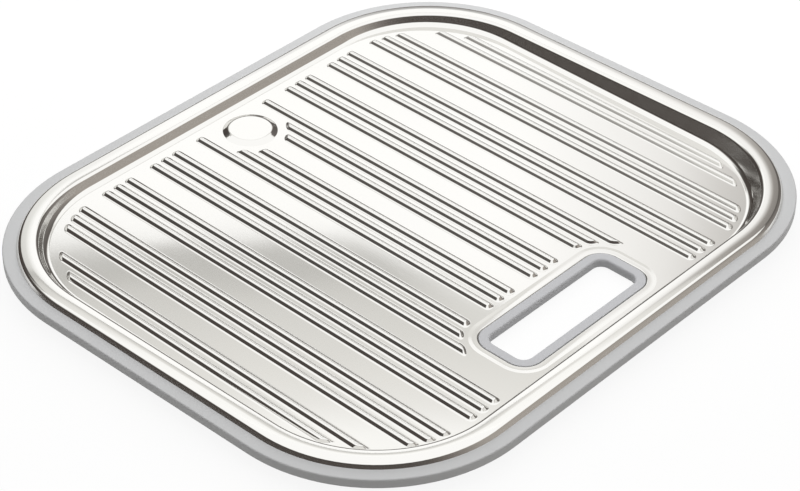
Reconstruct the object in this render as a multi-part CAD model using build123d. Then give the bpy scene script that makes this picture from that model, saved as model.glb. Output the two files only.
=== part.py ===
from build123d import *
import math
import os

# Drainer tray for a sink bowl: a pressed stainless plate with draining ribs, framed by a moulded
# plastic surround, with a plastic grip set into a hand slot. Millimetres, +Z up.
# X runs along the ribs towards the hand slot, Y across the ribs, and the origin is the middle of
# the plane that the surround's skirt stands on.

# Plan of the whole tray.
SIZE_X = 375.0
SIZE_Y = 440.0
CORNER_R = 103.5

# Moulded surround: a flange round the tray, and a skirt under it that drops into the bowl.
SKIRT_DEPTH = 10.0
FLANGE_H = 6.2
FLANGE_EDGE_R = 0.9
FLANGE_EDGE_FLATS = 2
LEDGE_W = 9.0
SURROUND_WALL = 2.8
SKIRT_INSET = 17.0
SKIRT_WALL = 2.5
SKIRT_FOOT_CHAMFER = 0.8

# Rolled rim of the plate, which hooks over the surround's upstand.
SHEET_T = 0.8
BEAD_H = 3.4
CROWN_W = 10.4
BEAD_OUTER_R = 2.0
BEAD_INNER_R = 3.0
FLANK_ANGLE = 60.0
FOOT_CHAMFER = 1.2
RIM_CLEARANCE = 0.3
BOND_T = 0.9
BOND_W = 6.0

# Draining panel, which falls towards the hand slot.
PANEL_DROP = 10.1
PANEL_TILT = 1.1

# Draining ribs, pressed upwards in groups.
RIB_W = 5.8
RIB_H = 2.2
RIB_SIDE_H = 1.45
RIB_HOLLOW_H = 1.8
RIB_SIDE_ANGLE = 60.0
RIB_CROWN_ANGLE = 30.0
RIB_CORNER_CUT = 0.6
RIB_PITCH = 9.6
RIBS_IN_GROUP = 3
GROUP_PITCH = 40.4
RIB_MARGIN = 34.0

# Plain raised disc at the high end.
DISC_D = 35.5
DISC_TOP_D = 29.5
DISC_H = 2.5
DISC_EDGE_CHAMFER = 0.8
DISC_INSET = 51.2
DISC_MARGIN = 6.2

# Hand slot and its grip: a bezel in a sunk seat, clipped to a ring under the plate.
SLOT_INSET = 61.0
SLOT_MARGIN_X = 9.2
SLOT_MARGIN_Y = 14.0
SLOT_MARGIN_R = 30.0
SEAT_LIP = 1.0
SEAT_CLEARANCE = 0.3
SEAL_T = 0.4
BEZEL_X = 43.0
BEZEL_Y = 120.0
BEZEL_R = 13.0
BEZEL_BAND = 6.5
BEZEL_FLANGE_T = 1.9
BEZEL_SUNK = 0.3
BEZEL_INNER_CHAMFER = 0.9
BEZEL_OUTER_CHAMFER = 0.4
SLEEVE_WALL = 2.2
SLEEVE_CLEARANCE = 0.2
CLIP_H = 0.8
CLIP_L = 16.0
CLIP_REACH = 0.5
CLIP_PITCH = 64.0
UNDER_RING_T = 1.8
UNDER_RING_MARGIN = 0.5
UNDER_RING_CHAMFER = 0.8

# Heights worked out from the sizes above.
FLANGE_Z = SKIRT_DEPTH
LEDGE_Z = FLANGE_Z + FLANGE_H
CROWN_Z = LEDGE_Z + BEAD_H
PANEL_Z = CROWN_Z - PANEL_DROP
UPSTAND_Z = CROWN_Z - SHEET_T - BOND_T

# Insets from the tray's edge, worked out from the sizes above.
FLANK = math.radians(FLANK_ANGLE)
CROWN_INSET = LEDGE_W + BEAD_H / math.tan(FLANK)
MOUTH_INSET = CROWN_INSET + CROWN_W
SHEET_FOOT_W = SHEET_T / math.sin(FLANK)
UPSTAND_INSET = LEDGE_W + SHEET_FOOT_W + (UPSTAND_Z - LEDGE_Z) / math.tan(FLANK) + RIM_CLEARANCE
SKIRT_INNER_INSET = SKIRT_INSET + SKIRT_WALL

# The blocks that the plate is cut from reach down to here, well under its lowest face.
BLOCK_Z = -20.0
# A flat of this share of a bend's radius keeps the sheet's gauge under the bend.
BEND_FLAT = 0.25
# A cutter passes the face that it cuts by this much.
PAST = 1.0

PANEL_SLOPE = math.radians(PANEL_TILT)
PANEL = Plane(
    origin=(0, 0, PANEL_Z),
    x_dir=(math.cos(PANEL_SLOPE), 0, -math.sin(PANEL_SLOPE)),
    z_dir=(math.sin(PANEL_SLOPE), 0, math.cos(PANEL_SLOPE)),
)
SLOT_X = SIZE_X / 2 - SLOT_INSET
DISC_X = DISC_INSET - SIZE_X / 2

# Levels of the grip under the panel's top face, and its outlines against the bezel's.
SEAT_Z = -(BEZEL_SUNK + BEZEL_FLANGE_T + SEAL_T)
UNDER_RING_Z = SEAT_Z - SHEET_T
CLIP_Z = UNDER_RING_Z - UNDER_RING_T
SLEEVE_Z = CLIP_Z - CLIP_H
SLEEVE_GROW = SLEEVE_WALL - BEZEL_BAND
HOLE_GROW = SLEEVE_GROW + SLEEVE_CLEARANCE


def plan(inset):
    """The tray's outline, moved inwards."""
    return RectangleRounded(SIZE_X - 2 * inset, SIZE_Y - 2 * inset, CORNER_R - inset)


def band(outer_inset, inner_inset, low, high):
    """A ring that follows the tray's outline."""
    return extrude(Pos(0, 0, low) * (plan(outer_inset) - plan(inner_inset)), high - low)


def slot_plan(grow):
    """The bezel's outline, grown or shrunk, about the hand slot's centre in the panel's plane."""
    return Pos(SLOT_X, 0) * RectangleRounded(BEZEL_X + 2 * grow, BEZEL_Y + 2 * grow, BEZEL_R + grow)


def slot_ring(outer_grow, inner_grow, low, high):
    """A ring round the hand slot, with heights above the panel's plane."""
    return extrude(Pos(0, 0, low) * (slot_plan(outer_grow) - slot_plan(inner_grow)), high - low)


def rib_spans():
    """Each rib's place across the tray and its two tips, kept off the rim, the disc and the slot."""
    field_x = SIZE_X / 2 - RIB_MARGIN
    field_y = SIZE_Y / 2 - RIB_MARGIN
    field_r = CORNER_R - RIB_MARGIN
    disc_r = DISC_D / 2 + DISC_MARGIN
    slot_left = SLOT_X - BEZEL_X / 2 - SLOT_MARGIN_X
    slot_half = BEZEL_Y / 2 + SLOT_MARGIN_Y
    groups = math.ceil(field_y / GROUP_PITCH)
    for group in range(groups):
        for place in range(RIBS_IN_GROUP):
            y = GROUP_PITCH * (group + 0.5) + RIB_PITCH * (place - (RIBS_IN_GROUP - 1) / 2)
            if y > field_y:
                continue
            corner_y = max(0.0, y - (field_y - field_r))
            reach = field_x - field_r + math.sqrt(field_r**2 - corner_y**2)
            left = -reach
            right = reach
            if y < disc_r:
                left = DISC_X + math.sqrt(disc_r**2 - y**2)
            if y < slot_half:
                bend_y = max(0.0, y - (slot_half - SLOT_MARGIN_R))
                right = slot_left + SLOT_MARGIN_R - math.sqrt(SLOT_MARGIN_R**2 - bend_y**2)
            yield left, right, y
            yield left, right, -y


def shift(depth, slope):
    """How far a sloping face moves in plan when its sheet's other side lies this deep."""
    return depth * math.tan(slope / 2)


def rib_form(left, right, y, depth):
    """A rib hipped at both ends, with two slopes on the sheet's top face and one underneath."""
    slope = math.radians(RIB_SIDE_ANGLE)
    half_l = (right - left) / 2 - shift(depth, slope)
    half_w = RIB_W / 2 - shift(depth, slope)
    foot = chamfer(Rectangle(2 * half_l, 2 * half_w).vertices(), half_w * RIB_CORNER_CUT)
    side_h = RIB_SIDE_H if depth == 0 else RIB_HOLLOW_H
    form = extrude(Pos(0, 0, -depth) * foot, side_h, taper=90 - RIB_SIDE_ANGLE)
    if depth == 0:
        shoulder = form.faces().sort_by(Axis.Z)[-1]
        form += extrude(shoulder, RIB_H - RIB_SIDE_H, taper=90 - RIB_CROWN_ANGLE)
    return Pos((left + right) / 2, y, 0) * form


def disc_boss(depth):
    """The raised disc, as a tapered button with an eased edge, rooted inside the block."""
    root_z = -SHEET_T - PAST
    top_z = DISC_H - depth
    spread = (DISC_D - DISC_TOP_D) / 2 / DISC_H
    top_r = DISC_TOP_D / 2 - shift(depth, math.atan(1 / spread))
    root_r = top_r + spread * (top_z - root_z)
    button = Pos(DISC_X, 0, (root_z + top_z) / 2) * Cone(root_r, top_r, top_z - root_z)
    return chamfer(button.edges().sort_by(Axis.Z)[-1], DISC_EDGE_CHAMFER)


def ease(edges, radius, depth):
    """Rounds a bend on the sheet's top face, and takes it off with a flat on the other."""
    if depth == 0:
        return fillet(edges, radius)
    return chamfer(edges, radius * BEND_FLAT)


def plate_block(depth):
    """Everything under the plate's face that lies this far below its top face."""
    crown_z = CROWN_Z - depth
    draft = 90 - FLANK_ANGLE
    crown = Pos(0, 0, crown_z) * plan(CROWN_INSET + shift(depth, FLANK))
    block = extrude(crown, crown_z - BLOCK_Z, dir=(0, 0, -1), taper=-draft)
    block = ease(block.faces().sort_by(Axis.Z)[-1].edges(), BEAD_OUTER_R, depth)

    mouth = Pos(0, 0, crown_z) * plan(MOUTH_INSET - shift(depth, FLANK))
    pocket = extrude(mouth, crown_z - BLOCK_Z, dir=(0, 0, -1), taper=draft)
    pocket = split(pocket, bisect_by=PANEL.offset(-depth), keep=Keep.TOP)
    pocket = chamfer(pocket.faces().sort_by(Axis.Z)[0].edges(), FOOT_CHAMFER)
    block -= pocket
    crown = block.faces().filter_by(Axis.Z).sort_by(Axis.Z)[-1]
    block = ease(crown.inner_wires()[0].edges(), BEAD_INNER_R, depth)

    well_z = SEAT_Z - depth
    well = extrude(Pos(0, 0, well_z) * slot_plan(SEAT_CLEARANCE + depth), PAST - well_z)
    block -= PANEL.location * well
    floor = block.faces().filter_by(PANEL).sort_by(SortBy.AREA)[-1]
    block = chamfer(floor.inner_wires()[0].edges(), SEAT_LIP)

    raised = [rib_form(*span, depth) for span in rib_spans()]
    raised.append(disc_boss(depth))
    return block.fuse(*[PANEL.location * form for form in raised])


def drainer_plate():
    """Pressed stainless sheet with its rolled rim, ribs, disc and seat for the grip."""
    sheet = plate_block(0) - plate_block(SHEET_T)
    flare = (LEDGE_Z - BLOCK_Z) / math.tan(FLANK)
    sheet -= band(LEDGE_W - flare - PAST, UPSTAND_INSET, BLOCK_Z - PAST, LEDGE_Z)
    hole = extrude(Pos(0, 0, UNDER_RING_Z - PAST) * slot_plan(HOLE_GROW), SHEET_T + 2 * PAST)
    return sheet - PANEL.location * hole


def surround_frame():
    """Moulded ring: a cored flange, an upstand inside the plate's rim and a skirt below."""
    flange = extrude(Pos(0, 0, FLANGE_Z) * plan(0), FLANGE_H - FLANGE_EDGE_R)
    turn = 90 / FLANGE_EDGE_FLATS
    for flat in range(FLANGE_EDGE_FLATS):
        rise = math.sin(math.radians(turn * (flat + 1))) - math.sin(math.radians(turn * flat))
        top = flange.faces().sort_by(Axis.Z)[-1]
        flange += extrude(top, FLANGE_EDGE_R * rise, taper=turn * (flat + 0.5))
    flange -= extrude(Pos(0, 0, FLANGE_Z) * plan(SKIRT_INNER_INSET), FLANGE_H)
    flange += band(UPSTAND_INSET, SKIRT_INNER_INSET, LEDGE_Z, UPSTAND_Z)
    skirt = band(SKIRT_INSET, SKIRT_INNER_INSET, 0, FLANGE_Z)
    skirt = chamfer(skirt.faces().sort_by(Axis.Z)[0].outer_wire().edges(), SKIRT_FOOT_CHAMFER)
    core = band(SURROUND_WALL, SKIRT_INSET, FLANGE_Z, LEDGE_Z - SURROUND_WALL)
    return flange + skirt - core


def rim_bond_bead():
    """Flexible bond that fills the gap between the upstand and the plate's crown."""
    middle = (UPSTAND_INSET + SKIRT_INNER_INSET) / 2
    return band(middle - BOND_W / 2, middle + BOND_W / 2, UPSTAND_Z, UPSTAND_Z + BOND_T)


def sleeve_clip(side, y):
    """Barb on the outside of the bezel's sleeve, which holds the under ring up."""
    wall_x = SLOT_X + side * (BEZEL_X / 2 + SLEEVE_GROW)
    tip_x = wall_x + side * CLIP_REACH
    root_x = wall_x - side * SLEEVE_WALL / 2
    corners = [(root_x, CLIP_Z), (tip_x, CLIP_Z), (wall_x, SLEEVE_Z), (root_x, SLEEVE_Z)]
    section = make_face(Polyline(*corners, close=True))
    return extrude(Plane.XZ.offset(-y - CLIP_L / 2) * section, CLIP_L)


def handle_bezel():
    """Grip's upper half: a flat flange in the seat and a sleeve through the plate."""
    flange = slot_ring(0, -BEZEL_BAND, SEAT_Z + SEAL_T, -BEZEL_SUNK)
    sleeve = slot_ring(SLEEVE_GROW, -BEZEL_BAND, SLEEVE_Z, SEAT_Z + SEAL_T)
    bezel = flange + sleeve
    top = bezel.faces().sort_by(Axis.Z)[-1]
    bezel = chamfer(top.inner_wires()[0].edges(), BEZEL_INNER_CHAMFER)
    top = bezel.faces().sort_by(Axis.Z)[-1]
    bezel = chamfer(top.outer_wire().edges(), BEZEL_OUTER_CHAMFER)
    for side in (-1, 1):
        for y in (-CLIP_PITCH / 2, CLIP_PITCH / 2):
            bezel += sleeve_clip(side, y)
    return PANEL.location * bezel


def handle_seal():
    """Flat seal between the bezel's flange and the seat."""
    return PANEL.location * slot_ring(0, HOLE_GROW, SEAT_Z, SEAT_Z + SEAL_T)


def handle_under_ring():
    """Grip's lower half: a ring clipped on the sleeve, with a rounded edge for the fingers."""
    ring = slot_ring(-UNDER_RING_MARGIN, HOLE_GROW, CLIP_Z, UNDER_RING_Z)
    ring = chamfer(ring.faces().sort_by(Axis.Z)[0].outer_wire().edges(), UNDER_RING_CHAMFER)
    return PANEL.location * ring


PIECES = (
    drainer_plate,
    surround_frame,
    rim_bond_bead,
    handle_bezel,
    handle_seal,
    handle_under_ring,
)

os.makedirs("parts", exist_ok=True)
for piece in PIECES:
    export_step(piece(), os.path.join("parts", piece.__name__ + ".step"))
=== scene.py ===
import math

import bmesh
import bpy
from bpy.props import FloatProperty, FloatVectorProperty, IntProperty, PointerProperty
from mathutils import Matrix, Vector


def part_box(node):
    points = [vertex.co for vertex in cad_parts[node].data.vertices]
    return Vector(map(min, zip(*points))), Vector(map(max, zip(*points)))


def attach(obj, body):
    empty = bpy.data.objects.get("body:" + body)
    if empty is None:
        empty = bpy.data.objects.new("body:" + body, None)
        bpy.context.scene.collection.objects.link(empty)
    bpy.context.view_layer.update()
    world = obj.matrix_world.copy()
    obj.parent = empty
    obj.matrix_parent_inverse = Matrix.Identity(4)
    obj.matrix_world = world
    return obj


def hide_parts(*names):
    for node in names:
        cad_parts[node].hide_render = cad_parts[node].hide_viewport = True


bl_info = {
    "name": "Sink Drainer Tray",
    "version": (1, 0, 0),
    "blender": (4, 5, 0),
    "location": "View3D > Sidebar > Drainer Tray",
    "description": "Models a ribbed stainless drainer tray in its plastic surround, and its studio",
    "category": "Object",
}

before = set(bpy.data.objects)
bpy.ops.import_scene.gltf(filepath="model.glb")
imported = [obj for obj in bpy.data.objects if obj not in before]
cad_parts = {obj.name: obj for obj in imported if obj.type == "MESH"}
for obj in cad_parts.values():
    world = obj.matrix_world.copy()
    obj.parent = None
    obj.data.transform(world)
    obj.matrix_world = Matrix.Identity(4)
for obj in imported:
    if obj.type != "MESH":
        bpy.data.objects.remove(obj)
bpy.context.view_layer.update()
SURROUND_LOW, SURROUND_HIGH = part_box("surround_frame")

# Segments round a quarter turn of the tray's outline, of the grip's outline and of a rib's nose.
PLAN_STEPS = 28
GRIP_STEPS = 14
NOSE_STEPS = 6
# Segments all round the disc and the studio's wall.
DISC_STEPS = 96
WALL_STEPS = 128
# Segments across a bend of the pressed sheet or an edge of a moulding.
BEND_STEPS = 7
EDGE_STEPS = 4
# A flat ring of this width round each pressed form keeps its smooth shading off the panel.
FLAT_RING = 0.0004
# Edges that turn by more than this are drawn sharp.
SHARP_ANGLE = math.radians(38)
# Points that lie closer than this are one point.
SAME_POINT = 1e-7
# The sheet's own ring round the grip: its width, and its shallow dish as (distance from the bezel, depth).
APRON_W = 0.0065
DISH = ((0.0045, 0.00006), (0.0028, 0.0001))
# The turn that sets the reach of the sheet's rolled lip.
LIP_TURN = math.radians(86)
# The darkest shade of the steel and the plastics, and of the rubber, as a share of the colour.
FAINT_SHADE = 0.97
BLOOM_SHADE = 0.8
# How much of the floor's look is plain white, against paint that takes the shadow.
FLOOR_WHITE = 0.9
# Width in millimetres of the frame that the camera's focal length is given for.
SENSOR_W = 36
# The studio's round wall of boards: radius in metres, and the angle to its top, seen from the tray.
WALL_R = 12.0
WALL_TOP = math.radians(46.0)
# Brightest board's radiance against white paper.
BOARD_LIGHT = 1.28
# The boards' colours round the tray: left (0), front (0.25), right (0.5), back (0.75).
BOARD_COLOURS = (
    (0.0, "#45403D"), (0.42, "#4C4744"), (0.46, "#57524F"), (0.50, "#746E6A"), (0.53, "#8B8681"),
    (0.57, "#A09A94"), (0.62, "#A09A94"), (0.67, "#837E7A"), (0.75, "#6A6663"), (0.81, "#5A5653"),
    (0.826, "#9A9692"), (0.836, "#D2D0CE"), (0.841, "#EEEDEC"), (0.854, "#FFFFFF"), (0.893, "#FFFFFF"),
    (0.908, "#E8E8E6"), (0.922, "#C4C3C0"), (0.932, "#6A6663"), (0.945, "#4A4542"), (1.0, "#45403D"),
)
# The white board stands on a dark plinth; heights are tangents of the angle seen from the tray.
PLINTH_COLOURS = ((0.78, "#FFFFFF"), (0.82, "#5E5A57"), (1.0, "#5E5A57"))
PLINTH_TOP = (0.42, 0.54)
# The dark boards in front fade out upwards.
FADE_COLOURS = (
    (0.50, "#3A3836"), (0.60, "#4C4947"), (0.68, "#575451"), (0.755, "#64615E"), (0.777, "#7A7774"),
    (0.807, "#B4B3B0"),
)
# Their top slopes: how much it is lower at one place and higher at another.
FADE_SLOPE = ((0.11, 0.07), (0.17, -0.12))
# The boards' top edge, at the left of the white board (place, height) and at its right.
BOARD_TOP = ((0.868, 0.795), (0.845, 0.865))
# The dark boards at the left are taller: from where to where the top edge rises, and by how much.
TALL_BOARDS = (0.922, 0.936, 0.245)
# Over the boards' top edge a pale header runs all round: its colours by height.
HEADER_COLOURS = (
    (0.795, "#B4B3B0"), (0.816, "#B8B7B4"), (0.833, "#D0CFCC"), (0.87, "#D9D8D5"), (0.905, "#E3E2DF"),
    (0.92, "#E7E6E4"), (0.942, "#FAFAF9"),
)
# The soft boxes, which face the tray: diameter in metres, watts, place, and whether the steel mirrors it.
SOFT_BOXES = (
    ("overhead_soft_box", 15.0, 127, (0.0, 0.0, 7.8), True),
    ("back_soft_box", 0.5, 4.8, (-0.6, 0.7, 0.5), False),
)


def linear(code):
    """An sRGB hex colour as linear RGBA."""
    parts = [int(code[i:i + 2], 16) / 255 for i in (1, 3, 5)]
    return (*(p / 12.92 if p <= 0.04045 else ((p + 0.055) / 1.055) ** 2.4 for p in parts), 1.0)


def length(name, description, default):
    """A length in metres that a user can change."""
    return FloatProperty(
        name=name, description=description, default=default, min=0.0, unit="LENGTH", precision=5
    )


def angle(name, description, degrees):
    """An angle that a user can change."""
    return FloatProperty(name=name, description=description, default=math.radians(degrees), subtype="ANGLE")


def colour(name, description, code):
    """A finish's colour that a user can change."""
    return FloatVectorProperty(
        name=name, description=description, default=linear(code), size=4, min=0.0, max=1.0, subtype="COLOR"
    )


class SurroundSettings(bpy.types.PropertyGroup):
    """The moulded surround and the tray's plan."""

    size_x: length("Width", "Tray's size along the ribs", SURROUND_HIGH.x - SURROUND_LOW.x)
    size_y: length("Length", "Tray's size across the ribs", SURROUND_HIGH.y - SURROUND_LOW.y)
    corner_r: length("Corner", "Radius of the tray's corners in plan", 0.1035)
    flange_z: length("Flange Height", "Height of the flange's underside above the stand plane", 0.010)
    flange_h: length("Flange", "Height of the flange's outer wall", 0.0062)
    edge_r: length("Top Edge", "Radius of the flange's top edge", 0.0009)
    wall: length("Wall", "Thickness of the moulding", 0.0028)
    upstand_inset: length("Upstand", "Inset of the upstand that carries the plate", 0.0112)
    skirt_inset: length("Skirt", "Inset of the skirt under the flange", 0.017)
    skirt_wall: length("Skirt Wall", "Thickness of the skirt", 0.0025)
    soft_edge: length("Soft Edge", "Radius of the moulding's small edges", 0.0006)


class RimSettings(bpy.types.PropertyGroup):
    """The plate's rolled rim and the sheet it is pressed from."""

    sheet_t: length("Sheet", "Gauge of the stainless sheet", 0.0008)
    ledge_w: length("Ledge", "Width of the plastic that shows outside the rim", 0.0083)
    bead_h: length("Bead", "Height of the rim above the plastic", 0.0034)
    crown_w: length("Crown", "Width across the top of the rim", 0.0115)
    ridge_w: length("Ridge", "Place of the crown's ridge, from its inner side", 0.0056)
    flank: angle("Flank", "Slope of the rim's outer flank", 60)
    inner_flank: angle("Inner Flank", "Slope of the rim's inner flank", 66)
    fall_in: angle("Inward Fall", "Fall of the crown from its ridge inwards", 2)
    fall_out: angle("Outward Fall", "Fall of the crown from its ridge outwards", 3)
    crown_r: length("Crown Bend", "Radius along the crown's ridge", 0.040)
    outer_r: length("Outer Bend", "Radius of the rim's outer bend", 0.0030)
    inner_r: length("Inner Bend", "Radius of the rim's inner bend", 0.003)
    foot_r: length("Foot Bend", "Radius where the rim meets the panel", 0.0045)


class PanelSettings(bpy.types.PropertyGroup):
    """The sunk panel, its ribs and its disc."""

    drop: length("Drop", "Depth of the panel's middle under the crown", 0.0101)
    tilt: angle("Fall", "Fall of the panel towards the hand slot", 1.1)
    rib_w: length("Rib Width", "Width of a rib at the panel", 0.0062)
    rib_h: length("Rib Height", "Height of a rib above the panel", 0.0022)
    rib_flank: angle("Rib Flank", "Slope of a rib's flanks", 48)
    rib_foot_r: length("Rib Foot", "Radius where a rib meets the panel", 0.0012)
    rib_crown_r: length("Rib Crown", "Radius along a rib's upper edges", 0.0018)
    rib_nose: FloatProperty(
        name="Rib Nose", description="Radius of a rib's nose in its half widths", default=0.9
    )
    rib_pitch: length("Rib Pitch", "Spacing of the ribs in a group", 0.0096)
    rib_count: IntProperty(name="Ribs", description="Ribs in a group", default=3, min=1)
    group_pitch: length("Group Pitch", "Spacing of the groups of ribs", 0.0404)
    rib_margin: length("Rib Margin", "Gap from the tray's edge to a rib's tip", 0.034)
    disc_d: length("Disc", "Diameter of the disc at the panel", 0.0355)
    disc_top_d: length("Disc Top", "Diameter of the disc's flat top", 0.0286)
    disc_h: length("Disc Height", "Height of the disc above the panel", 0.00165)
    disc_foot_r: length("Disc Foot", "Radius where the disc meets the panel", 0.001)
    disc_crown_r: length("Disc Crown", "Radius along the disc's upper edge", 0.005)
    disc_inset: length("Disc Inset", "Distance of the disc's middle from the tray's edge", 0.0512)
    disc_margin: length("Disc Margin", "Gap from the disc to a rib's tip", 0.0062)


class GripSettings(bpy.types.PropertyGroup):
    """The hand slot and the grip in it."""

    inset: length("Inset", "Distance of the slot's middle from the tray's edge", 0.061)
    size_x: length("Width", "Bezel's size along the ribs", 0.043)
    size_y: length("Length", "Bezel's size across the ribs", 0.120)
    corner_r: length("Corner", "Radius of the bezel's corners in plan", 0.013)
    band: length("Band", "Width of the bezel's flat band", 0.0065)
    sunk: length("Sunk", "Depth of the bezel's face under the panel", 0.0001)
    flange_t: length("Flange", "Thickness of the bezel's flange", 0.0019)
    seal_t: length("Seal", "Thickness of the seal under the flange", 0.0004)
    inner_r: length("Inner Edge", "Radius of the edge that the fingers meet", 0.0015)
    outer_r: length("Outer Edge", "Radius of the bezel's outer edge", 0.0004)
    sleeve_wall: length("Sleeve", "Thickness of the sleeve through the plate", 0.0022)
    sleeve_gap: length("Sleeve Gap", "Gap between the sleeve and the plate", 0.0002)
    ring_t: length("Under Ring", "Thickness of the ring under the plate", 0.0018)
    ring_margin: length("Ring Margin", "Inset of the under ring from the bezel's outline", 0.0005)
    ring_r: length("Ring Edge", "Radius of the under ring's lower outer edge", 0.001)
    clip_h: length("Clip", "Height of the clips on the sleeve", 0.0008)
    clip_l: length("Clip Length", "Length of each clip", 0.016)
    clip_reach: length("Clip Reach", "How far a clip stands out from the sleeve", 0.0005)
    clip_pitch: length("Clip Pitch", "Spacing of the two clips on a side", 0.064)
    lip_r: length("Lip", "Radius of the sheet's roll into the seat", 0.0011)
    seat_gap: length("Seat Gap", "Gap between the bezel and the sheet", 0.00015)
    margin_x: length("Side Margin", "Gap from the bezel to the ribs beside it", 0.0092)
    margin_y: length("End Margin", "Gap from the bezel's ends to the ribs past them", 0.014)
    margin_r: length("Margin Corner", "Radius of the ribs' line round the slot", 0.030)


class FinishSettings(bpy.types.PropertyGroup):
    """Colours of the finishes."""

    steel: colour("Steel", "Satin stainless sheet", "#E6E5E2")
    surround: colour("Surround", "Moulded plastic of the surround", "#CBCCCD")
    grip: colour("Grip", "Moulded plastic of the grip", "#C7C8CB")
    # Dark rubber of the bond; seen down the narrow gap round the grip, the seal's dark also paints in the
    # gap's shade.
    sealant: colour("Sealant", "Rubber of the seal and the bond", "#3A3938")


class StageSettings(bpy.types.PropertyGroup):
    """The studio and the camera."""

    floor: colour("Floor", "Pale floor", "#B0B0AE")
    azimuth: angle("Azimuth", "Camera's turn round the tray", 42.338)
    elevation: angle("Elevation", "Camera's height above the horizon", 36.971)
    roll: angle("Roll", "Camera's turn about its own line of sight", 0.306)
    distance: length("Distance", "Camera's distance from its target", 1.48571)
    lens: FloatProperty(
        name="Lens", description=f"Focal length on a {SENSOR_W} mm frame", default=109.85, unit="CAMERA"
    )
    target: FloatVectorProperty(
        name="Target", description="Point in the middle of the picture",
        default=(0.01682, -0.02351, 0.010), unit="LENGTH",
    )


class TraySettings(bpy.types.PropertyGroup):
    """All of the tray's settings."""

    surround: PointerProperty(type=SurroundSettings)
    rim: PointerProperty(type=RimSettings)
    panel: PointerProperty(type=PanelSettings)
    grip: PointerProperty(type=GripSettings)
    finish: PointerProperty(type=FinishSettings)
    stage: PointerProperty(type=StageSettings)


def tray_settings():
    """The scene's settings for the tray."""
    return bpy.context.scene.drainer_tray


def ledge_z(tray):
    """Height of the surround's flat top."""
    return tray.surround.flange_z + tray.surround.flange_h


def panel_place(tray):
    """The tilted frame of the panel's top face, about the middle of the tray."""
    middle = ledge_z(tray) + tray.rim.bead_h - tray.panel.drop
    return Matrix.Translation((0, 0, middle)) @ Matrix.Rotation(tray.panel.tilt, 4, "Y")


def slot_x(tray):
    """Place of the hand slot along the ribs, in the panel's frame."""
    return tray.surround.size_x / 2 - tray.grip.inset


def bend(radius, turn):
    """How far a bend of this radius and turn reaches along each of its two flats."""
    return radius * math.tan(turn / 2)


def edges_of(geometry):
    """The edges in an operator's result."""
    return [g for g in geometry if isinstance(g, bmesh.types.BMEdge)]


def verts_of(geometry):
    """The vertices in an operator's result."""
    return [g for g in geometry if isinstance(g, bmesh.types.BMVert)]


def edges_at(verts):
    """The edges that meet these vertices, each once and in the vertices' order."""
    return list(dict.fromkeys(e for v in verts for e in v.link_edges))


def border(verts):
    """The open edges round these vertices' faces."""
    return [e for e in edges_at(verts) if e.is_boundary]


def round_off(bm, geometry, offset, steps, affect="EDGES"):
    """Rounds edges, or corners of a flat face, by a bevel of circular section."""
    return bmesh.ops.bevel(
        bm, geom=geometry, offset=offset, offset_type="OFFSET", affect=affect,
        segments=steps, profile=0.5, material=-1, clamp_overlap=False,
    )


def rounded_outline(bm, half_x, half_y, radius, steps, centre):
    """A closed outline of edges: a rectangle with rounded corners in a level plane."""
    place = Matrix.Translation(centre) @ Matrix.Diagonal((half_x, half_y, 1, 1))
    sheet = bmesh.ops.create_grid(bm, x_segments=1, y_segments=1, size=1, matrix=place)["verts"]
    made = round_off(bm, sheet, radius, steps, "VERTICES")
    face = made["verts"][0].link_faces[0]
    edges = list(face.edges)
    bmesh.ops.delete(bm, geom=[face], context="FACES_ONLY")
    return edges


def sweep(bm, outline, core, centre, path):
    """Extrudes an outline along a section; each place on the path is (outwards, upwards) from the first."""
    loops = [outline]
    at = path[0]
    for place in path[1:]:
        made = bmesh.ops.extrude_edge_only(bm, edges=loops[-1])["geom"]
        moved = set(verts_of(made))
        for vert in moved:
            offset = vert.co - centre
            near_x = max(-core[0], min(core[0], offset.x))
            near_y = max(-core[1], min(core[1], offset.y))
            outward = offset - Vector((near_x, near_y, offset.z))
            vert.co += outward.normalized() * (place[0] - at[0])
            vert.co.z += place[1] - at[1]
        loops.append([e for e in edges_of(made) if set(e.verts) <= moved])
        at = place
    return loops


def rounded_path(path, radii):
    """The path with an arc of its own radius at each of its inner corners."""
    places = [Vector(place) for place in path]
    rounded = [places[0]]
    for before, corner, after, radius in zip(places, places[1:], places[2:], radii):
        back = (before - corner).normalized()
        onward = (after - corner).normalized()
        turn = math.pi - back.angle(onward)
        middle = corner + (back + onward).normalized() * radius / math.cos(turn / 2)
        first = corner + back * bend(radius, turn) - middle
        last = corner + onward * bend(radius, turn) - middle
        rounded += [middle + first.slerp(last, i / BEND_STEPS) * radius for i in range(BEND_STEPS + 1)]
    return rounded + [places[-1]]


def press_up(bm, outline, height, flank, foot_r, crown_r):
    """Draws the face inside an outline up out of the sheet: a flat ring, then steps round its two bends."""
    face = bmesh.ops.contextual_create(bm, geom=outline)["faces"][0]
    face.normal_update()
    if face.normal.z < 0:
        face.normal_flip()
    turns = [flank * i / EDGE_STEPS for i in range(EDGE_STEPS + 1)]
    width = bend(foot_r, flank) + height / math.tan(flank) + bend(crown_r, flank)
    path = [(-FLAT_RING, 0.0)]
    path += [(foot_r * math.sin(t), foot_r * (1 - math.cos(t))) for t in turns]
    path += [(width - crown_r * math.sin(t), height - crown_r * (1 - math.cos(t))) for t in reversed(turns)]
    for here, there in zip(path, path[1:]):
        bmesh.ops.inset_individual(
            bm, faces=[face], thickness=there[0] - here[0], depth=there[1] - here[1], use_even_offset=True
        )


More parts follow.
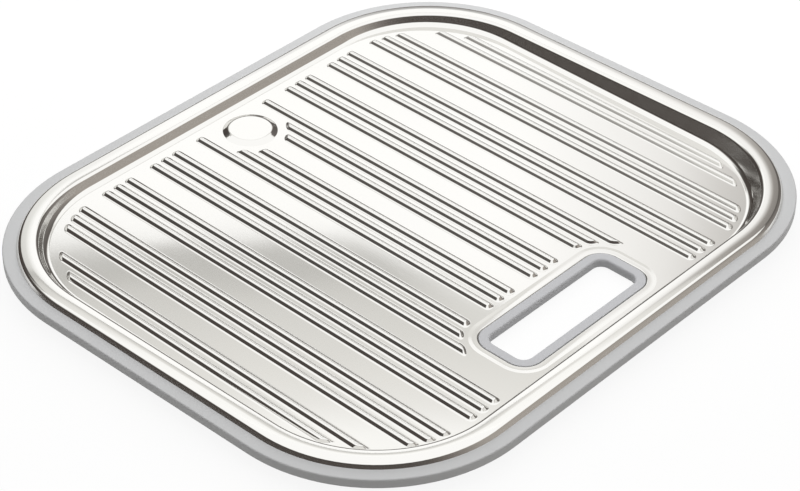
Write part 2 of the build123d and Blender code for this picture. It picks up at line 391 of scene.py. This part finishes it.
def swept_ring(bm, half_x, half_y, radius, steps, centre, section, rounds):
    """A closed ring of constant section; rounds gives a radius for each corner of the section."""
    grow = section[0][0]
    start = Vector((centre[0], centre[1], section[0][1]))
    outline = rounded_outline(bm, half_x + grow, half_y + grow, radius + grow, steps, start)
    loops = sweep(bm, outline, (half_x - radius, half_y - radius), start, section)
    bmesh.ops.bridge_loops(bm, edges=loops[0] + loops[-1])
    count = len(section)
    for i, edge_r in enumerate(rounds):
        if edge_r:
            here = Vector(section[i])
            turn = (here - Vector(section[i - 1])).angle(Vector(section[(i + 1) % count]) - here)
            round_off(bm, loops[i], bend(edge_r, turn), EDGE_STEPS)


def finished_piece(bm, name, material, slot, *nodes, gauge=0.0):
    """Puts a finished mesh in the scene, in place of its CAD nodes; an open sheet gets its gauge here."""
    bmesh.ops.remove_doubles(bm, verts=bm.verts[:], dist=SAME_POINT)
    bm.edges.index_update()
    cut = [e.index for e in bm.edges if e.is_boundary]
    mesh = bpy.data.meshes.new(name)
    bm.to_mesh(mesh)
    bm.free()
    mesh.shade_smooth()
    mesh.set_sharp_from_angle(angle=SHARP_ANGLE)
    for index in cut:
        mesh.edges[index].use_edge_sharp = True
    mesh.materials.append(material)
    piece = bpy.data.objects.new(name, mesh)
    bpy.context.scene.collection.objects.link(piece)
    if gauge:
        sheet = piece.modifiers.new("sheet_gauge", "SOLIDIFY")
        sheet.thickness = gauge
        sheet.offset = -1
    flats = piece.modifiers.new("flats_shade_flat", "WEIGHTED_NORMAL")
    flats.keep_sharp = True
    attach(piece, "root")
    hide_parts(*nodes)


def rib_tips(tray, y):
    """Where a rib's left and right tips lie at this place across the tray."""
    panel = tray.panel
    field_x = tray.surround.size_x / 2 - panel.rib_margin
    field_y = tray.surround.size_y / 2 - panel.rib_margin
    field_r = tray.surround.corner_r - panel.rib_margin
    across = abs(y)
    corner = min(field_r, max(0.0, across - (field_y - field_r)))
    right = field_x - field_r + math.sqrt(field_r**2 - corner**2)
    left = -right
    disc_r = panel.disc_d / 2 + panel.disc_margin
    if across < disc_r:
        left = panel.disc_inset - tray.surround.size_x / 2 + math.sqrt(disc_r**2 - across**2)
    slot_half = tray.grip.size_y / 2 + tray.grip.margin_y
    if across < slot_half:
        side = slot_x(tray) - tray.grip.size_x / 2 - tray.grip.margin_x
        turn = max(0.0, across - (slot_half - tray.grip.margin_r))
        right = side + tray.grip.margin_r - math.sqrt(tray.grip.margin_r**2 - turn**2)
    return left, right


def rib_places(tray):
    """The ribs' places across the tray, on both sides of its middle."""
    panel = tray.panel
    field_y = tray.surround.size_y / 2 - panel.rib_margin
    for group in range(math.ceil(field_y / panel.group_pitch)):
        for rib in range(panel.rib_count):
            y = panel.group_pitch * (group + 0.5) + panel.rib_pitch * (rib - (panel.rib_count - 1) / 2)
            if y <= field_y:
                yield y
                yield -y


def add_node(tree, kind, inputs=None, **settings):
    """Adds a shader node with its settings; an input is a value or another node's output."""
    node = tree.nodes.new(kind)
    for name, value in settings.items():
        setattr(node, name, value)
    for name, value in (inputs or {}).items():
        if isinstance(value, bpy.types.NodeSocket):
            tree.links.new(value, node.inputs[name])
        else:
            node.inputs[name].default_value = value
    return node


def new_material(name):
    """An empty node material."""
    material = bpy.data.materials.new(name)
    material.use_nodes = True
    material.node_tree.nodes.clear()
    return material, material.node_tree


def shaded(base, share):
    """A finish's colour, darkened to this share."""
    return (*(c * share for c in base[:3]), 1)


def satin_stainless(tray):
    """Stainless sheet, rolled satin and then pressed: fine lines along the ribs, soft broad waves."""
    material, tree = new_material("satin_pressed_stainless")
    where = add_node(tree, "ShaderNodeTexCoord")
    at = where.outputs["Object"]
    facing = where.outputs["Normal"]
    # Rolling lines 25 mm long. Real ones are under 0.1 mm wide; 0.5 mm is as fine as the picture shows.
    along = add_node(tree, "ShaderNodeMapping", {"Vector": at, "Scale": (1 / 0.025, 1 / 0.0005, 1 / 0.0005)})
    lines = add_node(
        tree, "ShaderNodeTexNoise", {"Vector": along.outputs["Vector"], "Scale": 1.0, "Detail": 3.0}
    )
    rough = add_node(
        tree, "ShaderNodeMapRange", {"Value": lines.outputs["Fac"], "To Min": 0.045, "To Max": 0.065}
    )
    # The rim's drawn walls come out of the press duller than the flats.
    upward = add_node(tree, "ShaderNodeSeparateXYZ", {"Vector": facing}).outputs["Z"]
    drawn = add_node(
        tree, "ShaderNodeMapRange",
        {"Value": upward, "From Min": 0.45, "From Max": 0.62, "To Min": 0.16, "To Max": 0.0},
    )
    dull = add_node(
        tree, "ShaderNodeMath", {0: rough.outputs["Result"], 1: drawn.outputs["Result"]}, operation="ADD"
    )
    # Waves of about 70 mm, left in the panel by the press.
    waves = add_node(tree, "ShaderNodeTexNoise", {"Vector": at, "Scale": 1 / 0.07, "Detail": 1.0})
    slow = add_node(
        tree, "ShaderNodeBump", {"Strength": 0.1, "Distance": 0.0008, "Height": waves.outputs["Fac"]}
    )
    fine = add_node(
        tree, "ShaderNodeBump",
        {
            "Strength": 0.05, "Distance": 0.00002, "Height": lines.outputs["Fac"],
            "Normal": slow.outputs["Normal"],
        },
    )
    steel = tray.finish.steel
    shade = add_node(
        tree, "ShaderNodeMix",
        {"Factor": waves.outputs["Fac"], "A": shaded(steel, FAINT_SHADE), "B": steel},
        data_type="RGBA",
    )
    shader = add_node(
        tree, "ShaderNodeBsdfPrincipled",
        {
            "Base Color": shade.outputs["Result"], "Metallic": 1.0, "Roughness": dull.outputs["Value"],
            "Normal": fine.outputs["Normal"],
        },
    )
    add_node(tree, "ShaderNodeOutputMaterial", {"Surface": shader.outputs["BSDF"]})
    return material


def moulded_plastic(name, base):
    """Moulded plastic with a spark-eroded skin: even, matt, a faint mottle and a fine grain."""
    material, tree = new_material(name)
    at = add_node(tree, "ShaderNodeTexCoord").outputs["Object"]
    # Grain of 0.4 mm from the mould's texture.
    grain = add_node(tree, "ShaderNodeTexNoise", {"Vector": at, "Scale": 1 / 0.0004, "Detail": 2.0})
    mottle = add_node(tree, "ShaderNodeTexNoise", {"Vector": at, "Scale": 1 / 0.018, "Detail": 3.0})
    tint = add_node(
        tree, "ShaderNodeMix",
        {"Factor": mottle.outputs["Fac"], "A": shaded(base, FAINT_SHADE), "B": base},
        data_type="RGBA",
    )
    rough = add_node(
        tree, "ShaderNodeMapRange", {"Value": grain.outputs["Fac"], "To Min": 0.42, "To Max": 0.58}
    )
    skin = add_node(
        tree, "ShaderNodeBump", {"Strength": 0.12, "Distance": 0.00004, "Height": grain.outputs["Fac"]}
    )
    shader = add_node(
        tree, "ShaderNodeBsdfPrincipled",
        {
            "Base Color": tint.outputs["Result"], "Roughness": rough.outputs["Result"], "IOR": 1.49,
            "Normal": skin.outputs["Normal"],
        },
    )
    add_node(tree, "ShaderNodeOutputMaterial", {"Surface": shader.outputs["BSDF"]})
    return material


def rubber_and_gap_shade(base):
    """Silicone rubber, cut or cast: dark, dull, with a slight bloom; on the seal also the gap's painted
    shade.
    """
    material, tree = new_material("silicone_rubber_and_gap_shade")
    at = add_node(tree, "ShaderNodeTexCoord").outputs["Object"]
    # Bloom in patches of 4 mm.
    bloom = add_node(tree, "ShaderNodeTexNoise", {"Vector": at, "Scale": 1 / 0.004, "Detail": 3.0})
    tint = add_node(
        tree, "ShaderNodeMix",
        {"Factor": bloom.outputs["Fac"], "A": shaded(base, BLOOM_SHADE), "B": base},
        data_type="RGBA",
    )
    rough = add_node(
        tree, "ShaderNodeMapRange", {"Value": bloom.outputs["Fac"], "To Min": 0.6, "To Max": 0.8}
    )
    shader = add_node(
        tree, "ShaderNodeBsdfPrincipled",
        {"Base Color": tint.outputs["Result"], "Roughness": rough.outputs["Result"], "IOR": 1.43},
    )
    add_node(tree, "ShaderNodeOutputMaterial", {"Surface": shader.outputs["BSDF"]})
    return material


class TRAY_OT_pressed_plate(bpy.types.Operator):
    """Model the pressed stainless plate with its rim, ribs, disc and seat"""

    bl_idname = "tray.pressed_plate"
    bl_label = "Pressed Plate"

    def execute(self, context):
        tray = tray_settings()
        bm = bmesh.new()
        place = panel_place(tray)
        up = place.to_3x3() @ Vector((0, 0, 1))
        outlines = self.rim(bm, tray, place.translation, up)
        level = set(bm.verts)
        outlines += self.seat(bm, tray)
        for y in rib_places(tray):
            outlines += self.rib(bm, tray, y)
        outlines += self.disc(bm, tray)
        bmesh.ops.transform(bm, matrix=place, verts=[v for v in bm.verts if v not in level])
        bmesh.ops.triangle_fill(bm, edges=outlines, use_beauty=True, use_dissolve=False, normal=up)
        bmesh.ops.recalc_face_normals(bm, faces=bm.faces[:])
        widest = max(bm.faces, key=lambda f: f.calc_area())
        if widest.normal.z < 0:
            bmesh.ops.reverse_faces(bm, faces=bm.faces[:])
        finished_piece(
            bm, "pressed_plate", satin_stainless(tray), "stainless_steel", "drainer_plate",
            gauge=tray.rim.sheet_t,
        )
        return {"FINISHED"}

    def seat(self, bm, tray):
        """The sheet round the grip: a shallow dish, a rolled lip and a sunk seat. Returns its outline."""
        grip = tray.grip
        centre = Vector((slot_x(tray), 0, 0))
        half_x = grip.size_x / 2
        half_y = grip.size_y / 2
        wall = grip.seat_gap
        seat_z = -(grip.sunk + grip.flange_t + grip.seal_t)
        hole = grip.sleeve_wall - grip.band + grip.sleeve_gap
        path = [(APRON_W, 0.0), (APRON_W - FLAT_RING, 0.0)]
        path += [(distance, -depth) for distance, depth in DISH]
        lip = len(path)
        path += [(wall, 0.0), (wall, seat_z), (hole, seat_z)]
        outline = rounded_outline(
            bm, half_x + APRON_W, half_y + APRON_W, grip.corner_r + APRON_W, GRIP_STEPS, centre
        )
        core = (half_x - grip.corner_r, half_y - grip.corner_r)
        loops = sweep(bm, outline, core, centre, path)
        round_off(bm, loops[lip], bend(grip.lip_r, LIP_TURN), EDGE_STEPS + 1)
        return outline

    def rib(self, bm, tray, y):
        """A rib with rounded noses that lie along the rim. Returns its outline."""
        panel = tray.panel
        half = panel.rib_w / 2 + bend(panel.rib_foot_r, panel.rib_flank) + FLAT_RING
        left, right = rib_tips(tray, y)
        middle = (left + right) / 2
        reach = (right - left) / 2 + half - panel.rib_w / 2
        before = set(bm.verts)
        outline = rounded_outline(bm, reach, half, half * panel.rib_nose, NOSE_STEPS, Vector((middle, y, 0)))
        press_up(bm, outline, panel.rib_h, panel.rib_flank, panel.rib_foot_r, panel.rib_crown_r)
        near = rib_tips(tray, y - half)
        far = rib_tips(tray, y + half)
        skew = [max(-1.0, min(1.0, (far[i] - near[i]) / (2 * half))) for i in (0, 1)]
        made = [v for v in bm.verts if v not in before]
        for vert in made:
            vert.co.x += (vert.co.y - y) * skew[0 if vert.co.x < middle else 1]
        return border(made)

    def disc(self, bm, tray):
        """The raised disc. Returns its outline."""
        panel = tray.panel
        x = panel.disc_inset - tray.surround.size_x / 2
        flank = math.atan(2 * panel.disc_h / (panel.disc_d - panel.disc_top_d))
        radius = panel.disc_d / 2 + bend(panel.disc_foot_r, flank) + FLAT_RING
        before = set(bm.verts)
        rim = bmesh.ops.create_circle(
            bm, cap_ends=False, radius=radius, segments=DISC_STEPS, matrix=Matrix.Translation((x, 0, 0))
        )["verts"]
        press_up(bm, edges_at(rim), panel.disc_h, flank, panel.disc_foot_r, panel.disc_crown_r)
        return border([v for v in bm.verts if v not in before])

    def rim(self, bm, tray, middle, up):
        """The rolled rim, cut off at the panel. Returns the outline that it leaves in the panel."""
        rim = tray.rim
        half_x = tray.surround.size_x / 2
        half_y = tray.surround.size_y / 2
        radius = tray.surround.corner_r
        low = ledge_z(tray)
        lean = math.cos((rim.fall_out - rim.fall_in) / 2) / math.cos((rim.fall_out + rim.fall_in) / 2)
        ridge = rim.bead_h + rim.crown_r * (lean - 1)
        outside = ridge - (rim.crown_w - rim.ridge_w) * math.tan(rim.fall_out)
        inside = ridge - rim.ridge_w * math.tan(rim.fall_in)
        crown = -rim.ledge_w - outside / math.tan(rim.flank)
        mouth = crown - rim.crown_w
        deep = 2 * rim.bead_h + rim.foot_r + tray.panel.drop
        foot = mouth - deep / math.tan(rim.inner_flank)
        corners = [
            (-rim.ledge_w, 0), (crown, outside), (mouth + rim.ridge_w, ridge), (mouth, inside),
            (foot, inside - deep),
        ]
        path = rounded_path(corners, (rim.outer_r, rim.crown_r, rim.inner_r))
        start = Vector((0, 0, low))
        first = -rim.ledge_w
        outline = rounded_outline(bm, half_x + first, half_y + first, radius + first, PLAN_STEPS, start)
        sweep(bm, outline, (half_x - radius, half_y - radius), start, path)
        everything = bm.verts[:] + bm.edges[:] + bm.faces[:]
        cut = bmesh.ops.bisect_plane(
            bm, geom=everything, dist=SAME_POINT, plane_co=middle, plane_no=up, clear_inner=True
        )["geom_cut"]
        bends = edges_of(cut)
        bmesh.ops.contextual_create(bm, geom=bends)
        round_off(bm, bends, bend(rim.foot_r, rim.inner_flank), BEND_STEPS)
        floor = max(bm.faces, key=lambda f: f.calc_area())
        bmesh.ops.inset_individual(bm, faces=[floor], thickness=FLAT_RING, use_even_offset=True)
        edges = list(floor.edges)
        bmesh.ops.delete(bm, geom=[floor], context="FACES_ONLY")
        return edges


class TRAY_OT_surround(bpy.types.Operator):
    """Model the moulded surround with its flange, upstand and skirt"""

    bl_idname = "tray.surround"
    bl_label = "Surround"

    def execute(self, context):
        tray = tray_settings()
        part = tray.surround
        bm = bmesh.new()
        low = part.flange_z
        top = ledge_z(tray)
        upstand_z = SURROUND_HIGH.z
        core_z = top - part.wall
        inner = -part.skirt_inset - part.skirt_wall
        section = [
            (0, low), (0, top), (-part.upstand_inset, top), (-part.upstand_inset, upstand_z),
            (inner, upstand_z), (inner, 0), (-part.skirt_inset, 0), (-part.skirt_inset, core_z),
            (-part.wall, core_z), (-part.wall, low),
        ]
        soft = part.soft_edge
        rounds = [soft, part.edge_r, 0, soft / 2, soft / 2, soft, soft, soft, soft, soft]
        swept_ring(
            bm, part.size_x / 2, part.size_y / 2, part.corner_r, PLAN_STEPS, (0, 0), section, rounds
        )
        bmesh.ops.recalc_face_normals(bm, faces=bm.faces[:])
        plastic = moulded_plastic("moulded_surround_plastic", tray.finish.surround)
        finished_piece(bm, "moulded_surround", plastic, "surround_plastic", "surround_frame")
        return {"FINISHED"}


class TRAY_OT_grip(bpy.types.Operator):
    """Model the grip: the bezel with its sleeve and clips, and the ring under the plate"""

    bl_idname = "tray.grip"
    bl_label = "Grip"

    def execute(self, context):
        tray = tray_settings()
        grip = tray.grip
        plastic = moulded_plastic("moulded_grip_plastic", tray.finish.grip)
        centre = (slot_x(tray), 0)
        sizes = (grip.size_x / 2, grip.size_y / 2, grip.corner_r, GRIP_STEPS, centre)
        place = panel_place(tray)
        face = -grip.sunk
        under = face - grip.flange_t
        ring_z = under - grip.seal_t - tray.rim.sheet_t
        clip_z = ring_z - grip.ring_t
        end = clip_z - grip.clip_h
        outside = grip.sleeve_wall - grip.band

        bezel = bmesh.new()
        section = [
            (0, under), (0, face), (-grip.band, face), (-grip.band, end), (outside, end), (outside, under),
        ]
        rounds = [0, grip.outer_r, grip.inner_r, grip.outer_r, 0, 0]
        swept_ring(bezel, *sizes, section, rounds)
        for side in (-1, 1):
            for y in (-grip.clip_pitch / 2, grip.clip_pitch / 2):
                self.clip(bezel, grip, centre[0] + side * (grip.size_x / 2 + outside), side, y, clip_z)
        bmesh.ops.recalc_face_normals(bezel, faces=bezel.faces[:])
        bmesh.ops.transform(bezel, matrix=place, verts=bezel.verts[:])
        finished_piece(bezel, "grip_bezel", plastic, "grip_plastic", "handle_bezel")

        ring = bmesh.new()
        inside = outside + grip.sleeve_gap
        outer = -grip.ring_margin
        section = [(inside, clip_z), (outer, clip_z), (outer, ring_z), (inside, ring_z)]
        swept_ring(ring, *sizes, section, [0, grip.ring_r, 0, 0])
        bmesh.ops.recalc_face_normals(ring, faces=ring.faces[:])
        bmesh.ops.transform(ring, matrix=place, verts=ring.verts[:])
        finished_piece(ring, "grip_under_ring", plastic, "grip_plastic", "handle_under_ring")
        return {"FINISHED"}

    def clip(self, bm, grip, wall_x, side, y, top):
        """A barb on the sleeve that holds the ring up."""
        root = wall_x - side * grip.sleeve_wall / 2
        tip = wall_x + side * grip.clip_reach
        middle = Vector(((root + tip) / 2, y, top - grip.clip_h / 2))
        size = Matrix.Diagonal((abs(tip - root), grip.clip_l, grip.clip_h, 1))
        made = bmesh.ops.create_cube(bm, size=1, matrix=Matrix.Translation(middle) @ size)["verts"]
        for vert in made:
            if vert.co.z < middle.z and (vert.co.x - middle.x) * side > 0:
                vert.co.x = wall_x


class TRAY_OT_seals(bpy.types.Operator):
    """Give the rim's bond and the bezel's seal their rubber, whose dark on the seal is painted gap shade"""

    bl_idname = "tray.seals"
    bl_label = "Seals"

    def execute(self, context):
        rubber = rubber_and_gap_shade(tray_settings().finish.sealant)
        # The seal's dark shows down the gap round the bezel as painted shade, over the gap's own shadow.
        for name in ("rim_bond_bead", "handle_seal"):
            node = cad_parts[name]
            node.data.materials.clear()
            node.data.materials.append(rubber)
        return {"FINISHED"}


class TRAY_OT_stage(bpy.types.Operator):
    """Set the floor, the lights and the camera"""

    bl_idname = "tray.stage"
    bl_label = "Stage"

    def execute(self, context):
        stage = tray_settings().stage
        context.scene.view_settings.view_transform = "Standard"
        self.world(context.scene)
        self.floor(context.scene, stage)
        self.walls(context.scene)
        self.lights(context.scene)
        self.camera(context.scene, stage)
        return {"FINISHED"}

    def shown(self, tree):
        """One where a ray shows the background, from the camera or by a mirror or glass."""
        path = add_node(tree, "ShaderNodeLightPath")
        seen = add_node(
            tree, "ShaderNodeMath",
            {0: path.outputs["Is Camera Ray"], 1: path.outputs["Is Glossy Ray"]}, operation="MAXIMUM",
        )
        return add_node(
            tree, "ShaderNodeMath",
            {0: seen.outputs["Value"], 1: path.outputs["Is Transmission Ray"]}, operation="MAXIMUM",
        ).outputs["Value"]

    def world(self, scene):
        """A plain white room."""
        world = bpy.data.worlds.new("white_room")
        world.use_nodes = True
        tree = world.node_tree
        tree.nodes.clear()
        room = add_node(tree, "ShaderNodeBackground", {"Color": (1, 1, 1, 1), "Strength": 1.0})
        add_node(tree, "ShaderNodeOutputWorld", {"Surface": room.outputs["Background"]})
        scene.world = world

    def floor(self, scene, stage):
        """A pale floor that shows white, with the tray's faint shadow."""
        bm = bmesh.new()
        bmesh.ops.create_grid(bm, x_segments=1, y_segments=1, size=2 * WALL_R)
        mesh = bpy.data.meshes.new("floor")
        bm.to_mesh(mesh)
        bm.free()
        material, tree = new_material("pale_studio_floor")
        shown = self.shown(tree)
        pale = add_node(
            tree, "ShaderNodeMix", {"Factor": shown, "A": stage.floor, "B": (1, 1, 1, 1)}, data_type="RGBA"
        )
        paint = add_node(tree, "ShaderNodeBsdfDiffuse", {"Color": pale.outputs["Result"]})
        white = add_node(tree, "ShaderNodeEmission", {"Color": (1, 1, 1, 1), "Strength": 1.0})
        share = add_node(tree, "ShaderNodeMath", {0: shown, 1: FLOOR_WHITE}, operation="MULTIPLY")
        mixed = add_node(
            tree, "ShaderNodeMixShader",
            {0: share.outputs["Value"], 1: paint.outputs["BSDF"], 2: white.outputs["Emission"]},
        )
        add_node(tree, "ShaderNodeOutputMaterial", {"Surface": mixed.outputs["Shader"]})
        mesh.materials.append(material)
        floor = bpy.data.objects.new("floor", mesh)
        scene.collection.objects.link(floor)

    def walls(self, scene):
        """Boards round the tray for the steel to mirror: white behind, dark in front, grey at the right."""
        bm = bmesh.new()
        bmesh.ops.create_circle(bm, cap_ends=False, radius=WALL_R, segments=WALL_STEPS)
        made = bmesh.ops.extrude_edge_only(bm, edges=bm.edges[:])["geom"]
        bmesh.ops.translate(bm, vec=(0, 0, WALL_R * math.tan(WALL_TOP)), verts=verts_of(made))
        mesh = bpy.data.meshes.new("studio_boards")
        bm.to_mesh(mesh)
        bm.free()
        material, tree = new_material("studio_board_paint")
        at = add_node(tree, "ShaderNodeTexCoord").outputs["Object"]
        around = add_node(tree, "ShaderNodeTexGradient", {"Vector": at}, gradient_type="RADIAL")
        paint = self.ramp(tree, around.outputs["Fac"], BOARD_COLOURS)
        height = add_node(tree, "ShaderNodeSeparateXYZ", {"Vector": at}).outputs["Z"]
        share = add_node(tree, "ShaderNodeMath", {0: height, 1: WALL_R}, operation="DIVIDE")
        header = self.ramp(tree, share.outputs["Value"], HEADER_COLOURS)
        low, high = PLINTH_TOP
        foot = add_node(
            tree, "ShaderNodeMapRange",
            {
                "Value": share.outputs["Value"], "From Min": low, "From Max": high,
                "To Min": 1.0, "To Max": 0.0,
            },
        )
        plinth = self.ramp(tree, around.outputs["Fac"], PLINTH_COLOURS)
        standing = add_node(
            tree, "ShaderNodeMix", {"Factor": foot.outputs["Result"], "A": paint, "B": plinth},
            data_type="RGBA", blend_type="DARKEN",
        )
        (start, lower), (stop, higher) = FADE_SLOPE
        sloped = add_node(
            tree, "ShaderNodeMapRange",
            {
                "Value": around.outputs["Fac"], "From Min": start, "From Max": stop,
                "To Min": lower, "To Max": higher,
            },
        )
        level = add_node(
            tree, "ShaderNodeMath", {0: share.outputs["Value"], 1: sloped.outputs["Result"]}, operation="ADD"
        )
        fade = self.ramp(tree, level.outputs["Value"], FADE_COLOURS)
        lit = add_node(
            tree, "ShaderNodeMix", {"Factor": 1.0, "A": standing.outputs["Result"], "B": fade},
            data_type="RGBA", blend_type="LIGHTEN",
        )
        (left, left_top), (right, right_top) = BOARD_TOP
        edge = add_node(
            tree, "ShaderNodeMapRange",
            {
                "Value": around.outputs["Fac"], "From Min": right, "From Max": left,
                "To Min": right_top, "To Max": left_top,
            },
        )
        start, stop, rise = TALL_BOARDS
        taller = add_node(
            tree, "ShaderNodeMapRange",
            {
                "Value": around.outputs["Fac"], "From Min": start, "From Max": stop,
                "To Min": 0.0, "To Max": rise,
            },
        )
        top = add_node(
            tree, "ShaderNodeMath", {0: edge.outputs["Result"], 1: taller.outputs["Result"]}, operation="ADD"
        )
        over = add_node(
            tree, "ShaderNodeMath", {0: share.outputs["Value"], 1: top.outputs["Value"]},
            operation="GREATER_THAN",
        )
        colour = add_node(
            tree, "ShaderNodeMix",
            {"Factor": over.outputs["Value"], "A": lit.outputs["Result"], "B": header}, data_type="RGBA",
        )
        glow = add_node(
            tree, "ShaderNodeEmission", {"Color": colour.outputs["Result"], "Strength": BOARD_LIGHT}
        )
        add_node(tree, "ShaderNodeOutputMaterial", {"Surface": glow.outputs["Emission"]})
        mesh.materials.append(material)
        boards = bpy.data.objects.new("studio_boards", mesh)
        boards.visible_camera = False
        scene.collection.objects.link(boards)

    def ramp(self, tree, value, stops):
        """A colour ramp through (place, sRGB colour) stops."""
        node = add_node(tree, "ShaderNodeValToRGB", {"Fac": value})
        elements = node.color_ramp.elements
        while len(elements) < len(stops):
            elements.new(1.0)
        for element, (place, code) in zip(elements, stops):
            element.position = place
            element.color = linear(code)
        return node.outputs["Color"]

    def lights(self, scene):
        """A wide soft box overhead, and a small one behind that lights the far plastic."""
        for name, size, power, place, mirrored in SOFT_BOXES:
            lamp = bpy.data.lights.new(name, "AREA")
            lamp.shape = "DISK"
            lamp.size = size
            lamp.energy = power
            box = bpy.data.objects.new(name, lamp)
            box.location = place
            box.rotation_euler = Vector(place).to_track_quat("Z", "Y").to_euler()
            box.visible_camera = False
            box.visible_glossy = mirrored
            scene.collection.objects.link(box)

    def camera(self, scene, stage):
        """The photograph's camera."""
        turn = stage.azimuth
        rise = stage.elevation
        back = Vector((math.sin(turn) * math.cos(rise), -math.cos(turn) * math.cos(rise), math.sin(rise)))
        right = Vector((math.cos(turn), math.sin(turn), 0))
        up = back.cross(right)
        axes = Matrix((right, up, back)).transposed() @ Matrix.Rotation(stage.roll, 3, "Z")
        lens = bpy.data.cameras.new("photo_camera")
        lens.sensor_width = SENSOR_W
        lens.lens = stage.lens
        eye = bpy.data.objects.new("photo_camera", lens)
        eye.matrix_world = Matrix.Translation(Vector(stage.target) + back * stage.distance) @ axes.to_4x4()
        scene.collection.objects.link(eye)
        scene.camera = eye


class TRAY_PT_builder(bpy.types.Panel):
    """Sidebar panel that lists the tray's pieces"""

    bl_idname = "TRAY_PT_builder"
    bl_label = "Drainer Tray"
    bl_space_type = "VIEW_3D"
    bl_region_type = "UI"
    bl_category = "Drainer Tray"

    def draw(self, context):
        for operator in OPERATORS:
            self.layout.operator(operator.bl_idname)


SETTINGS = (
    SurroundSettings, RimSettings, PanelSettings, GripSettings, FinishSettings, StageSettings, TraySettings,
)
OPERATORS = (TRAY_OT_pressed_plate, TRAY_OT_surround, TRAY_OT_grip, TRAY_OT_seals, TRAY_OT_stage)
CLASSES = (*SETTINGS, *OPERATORS, TRAY_PT_builder)


def register():
    """Registers the settings, the operators and the panel."""
    for cls in CLASSES:
        bpy.utils.register_class(cls)
    bpy.types.Scene.drainer_tray = PointerProperty(type=TraySettings)


def unregister():
    """Takes the settings, the operators and the panel out again."""
    del bpy.types.Scene.drainer_tray
    for cls in reversed(CLASSES):
        bpy.utils.unregister_class(cls)


def main():
    """Models the tray and its studio."""
    register()
    bpy.ops.tray.pressed_plate()
    bpy.ops.tray.surround()
    bpy.ops.tray.grip()
    bpy.ops.tray.seals()
    bpy.ops.tray.stage()
    bpy.context.view_layer.update()


if __name__ == "__main__":
    main()
